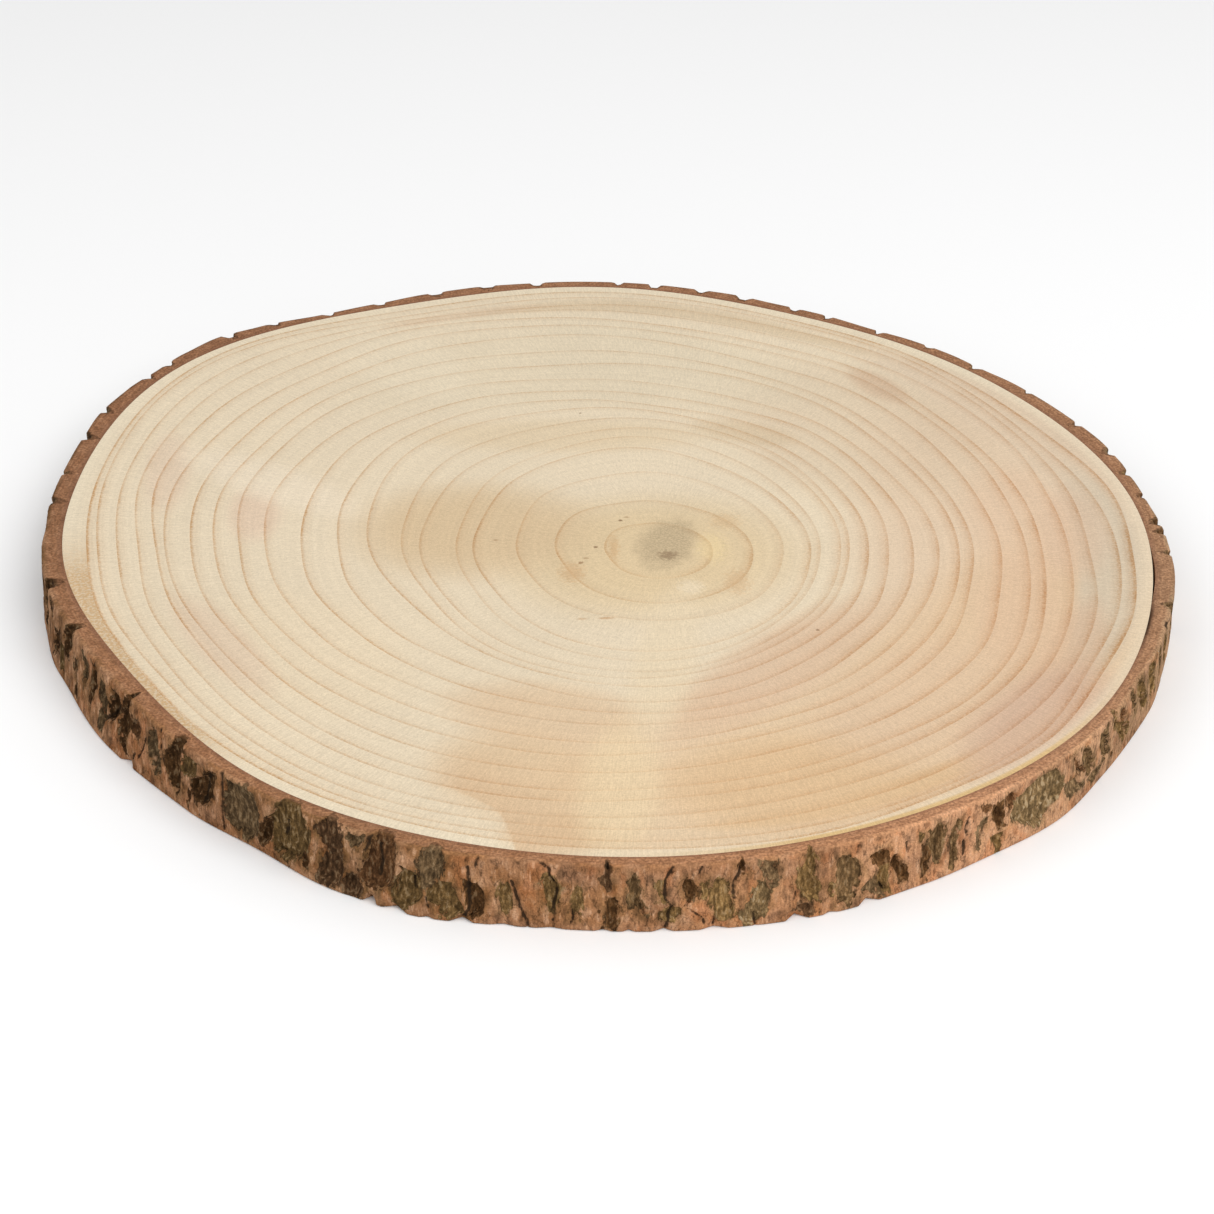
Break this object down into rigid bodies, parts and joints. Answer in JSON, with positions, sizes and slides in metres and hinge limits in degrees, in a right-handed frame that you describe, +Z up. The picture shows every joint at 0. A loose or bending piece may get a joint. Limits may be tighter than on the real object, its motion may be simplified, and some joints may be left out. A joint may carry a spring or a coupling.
{
  "type": "wood slice",
  "caption": "Round slab of pale wood sawn across a log, flat on both faces, with growth rings round an off-centre pith and a rim of ridged and furrowed brown bark.",
  "frame": {"origin": "middle of the underside of the slab's outer box, on the surface it lies on", "axes": "+Z up through the slab's thickness, towards the face the picture shows; -Y towards the camera side of the picture"},
  "size_m": [0.3452, 0.3496, 0.02],
  "materials": {
    "wood": "sawn across the grain and sanded, satin",
    "bark": "natural bark, rough and matt, worn smooth on its ridges"
  },
  "bodies": {
    "root": {"wood": "wood", "bark": "bark"}
  },
  "joints": []
}
